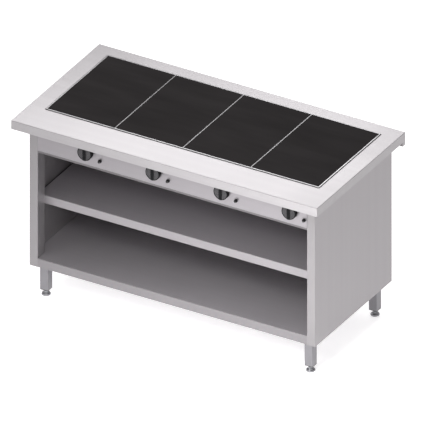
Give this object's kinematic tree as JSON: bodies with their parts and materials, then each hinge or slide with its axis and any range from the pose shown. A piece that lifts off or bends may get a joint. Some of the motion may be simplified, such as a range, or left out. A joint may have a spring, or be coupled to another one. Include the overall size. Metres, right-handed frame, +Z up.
{
  "type": "induction hob",
  "caption": "Free-standing restaurant induction hob: steel worktop with flush black glass zones, rotary controls on a front fascia and an open shelf cabinet on levelling feet.",
  "frame": {"origin": "on the floor, under the middle of the worktop", "axes": "+X to the right seen from the front, +Y to the back, +Z up; the controls face -Y"},
  "size_m": [1.5, 0.75, 0.886],
  "materials": {
    "satin_steel": "satin ground stainless steel",
    "panel_steel": "satin stainless sheet",
    "frame_steel": "bright ground stainless steel",
    "leg_steel": "brushed square tube",
    "zinc_steel": "zinc-plated steel",
    "aluminium_sheet": "mill finish",
    "black_glass": "opaque black glass-ceramic, polished",
    "black_rubber": "matt silicone",
    "black_plastic": "fine textured",
    "lamp_lens": "translucent grey, unlit",
    "foot_steel": "turned steel, satin plated",
    "litz_copper": "lacquered copper winding",
    "ferrite": "sintered, dull",
    "mica": "pressed mica sheet",
    "board_green": "solder-masked board"
  },
  "bodies": {
    "cabinet": {"worktop": "satin_steel", "glass_frame": "frame_steel", "frame_seal": "black_rubber", "divider_strips": "frame_steel", "glass_gaskets": "black_rubber", "glass_support_bars": "panel_steel", "right_side_panel": "panel_steel", "left_side_panel": "panel_steel", "back_panel": "panel_steel", "base_shelf": "panel_steel", "mid_shelf": "panel_steel", "shelf_stiffeners": "panel_steel", "service_tray": "panel_steel", "support_rails": "panel_steel", "control_fascia": "panel_steel", "control_bodies": "black_plastic", "control_nuts": "zinc_steel", "pilot_lamp_bodies": "black_plastic", "pilot_lamp_lenses": "lamp_lens", "legs": "leg_steel", "leg_nuts": "zinc_steel", "leg_inserts": "black_plastic", "coil_rails": "zinc_steel", "coil_cushions": "black_rubber", "coil_plates": "aluminium_sheet", "ferrite_bars": "ferrite", "mica_sheets": "mica", "induction_coils": "litz_copper", "temperature_probes": "mica", "generator_cases": "zinc_steel", "generator_covers": "zinc_steel", "power_boards": "board_green", "heat_sinks": "aluminium_sheet", "fan_frames": "black_plastic", "terminal_block": "black_plastic", "cable_gland": "black_plastic", "worktop_brackets": "zinc_steel", "panel_screws": "zinc_steel", "glass_plate_1": "black_glass", "glass_plate_2": "black_glass", "glass_plate_3": "black_glass", "glass_plate_4": "black_glass"},
    "knob_1": {"knob_1": "black_plastic", "control_shaft_1": "zinc_steel"},
    "knob_2": {"knob_2": "black_plastic", "control_shaft_2": "zinc_steel"},
    "knob_3": {"knob_3": "black_plastic", "control_shaft_3": "zinc_steel"},
    "knob_4": {"knob_4": "black_plastic", "control_shaft_4": "zinc_steel"},
    "foot_front_left": {"foot_pad_front_left": "foot_steel"},
    "stud_front_left": {"foot_stud_front_left": "zinc_steel"},
    "foot_front_right": {"foot_pad_front_right": "foot_steel"},
    "stud_front_right": {"foot_stud_front_right": "zinc_steel"},
    "foot_rear_left": {"foot_pad_rear_left": "foot_steel"},
    "stud_rear_left": {"foot_stud_rear_left": "zinc_steel"},
    "foot_rear_right": {"foot_pad_rear_right": "foot_steel"},
    "stud_rear_right": {"foot_stud_rear_right": "zinc_steel"},
    "fan_1": {"fan_rotor_1": "black_plastic"},
    "fan_2": {"fan_rotor_2": "black_plastic"}
  },
  "joints": [
    {"name": "knob_1_turn", "type": "hinge", "parent": "cabinet", "child": "knob_1", "pos_m": [-0.421, -0.305, 0.788], "axis": [0, 1, 0], "range_deg": [0, 270]},
    {"name": "knob_2_turn", "type": "hinge", "parent": "cabinet", "child": "knob_2", "pos_m": [-0.0875, -0.305, 0.788], "axis": [0, 1, 0], "range_deg": [0, 270]},
    {"name": "knob_3_turn", "type": "hinge", "parent": "cabinet", "child": "knob_3", "pos_m": [0.246, -0.305, 0.788], "axis": [0, 1, 0], "range_deg": [0, 270]},
    {"name": "knob_4_turn", "type": "hinge", "parent": "cabinet", "child": "knob_4", "pos_m": [0.5795, -0.305, 0.788], "axis": [0, 1, 0], "range_deg": [0, 270]},
    {"name": "foot_front_left_height", "type": "slide", "parent": "cabinet", "child": "foot_front_left", "axis": [0, 0, 1], "range_m": [-0.025, 0.008]},
    {"name": "stud_front_left_turn", "type": "hinge", "parent": "foot_front_left", "child": "stud_front_left", "pos_m": [-0.648, -0.253, 0.03], "axis": [0, 0, 1], "range_deg": [-5145, 1648]},
    {"name": "foot_front_right_height", "type": "slide", "parent": "cabinet", "child": "foot_front_right", "axis": [0, 0, 1], "range_m": [-0.025, 0.008]},
    {"name": "stud_front_right_turn", "type": "hinge", "parent": "foot_front_right", "child": "stud_front_right", "pos_m": [0.648, -0.253, 0.03], "axis": [0, 0, 1], "range_deg": [-5145, 1648]},
    {"name": "foot_rear_left_height", "type": "slide", "parent": "cabinet", "child": "foot_rear_left", "axis": [0, 0, 1], "range_m": [-0.025, 0.008]},
    {"name": "stud_rear_left_turn", "type": "hinge", "parent": "foot_rear_left", "child": "stud_rear_left", "pos_m": [-0.648, 0.293, 0.03], "axis": [0, 0, 1], "range_deg": [-5145, 1648]},
    {"name": "foot_rear_right_height", "type": "slide", "parent": "cabinet", "child": "foot_rear_right", "axis": [0, 0, 1], "range_m": [-0.025, 0.008]},
    {"name": "stud_rear_right_turn", "type": "hinge", "parent": "foot_rear_right", "child": "stud_rear_right", "pos_m": [0.648, 0.293, 0.03], "axis": [0, 0, 1], "range_deg": [-5145, 1648]},
    {"name": "fan_1_spin", "type": "hinge", "parent": "cabinet", "child": "fan_1", "pos_m": [-0.33, -0.01, 0.73], "axis": [0, 0, 1], "continuous": true},
    {"name": "fan_2_spin", "type": "hinge", "parent": "cabinet", "child": "fan_2", "pos_m": [0.33, -0.01, 0.73], "axis": [0, 0, 1], "continuous": true}
  ],
  "couplings": [
    {"joint": "stud_front_left_turn", "follows": "foot_front_left_height", "rad_per_m": 3590.4},
    {"joint": "stud_front_right_turn", "follows": "foot_front_right_height", "rad_per_m": 3590.4},
    {"joint": "stud_rear_left_turn", "follows": "foot_rear_left_height", "rad_per_m": 3590.4},
    {"joint": "stud_rear_right_turn", "follows": "foot_rear_right_height", "rad_per_m": 3590.4}
  ]
}
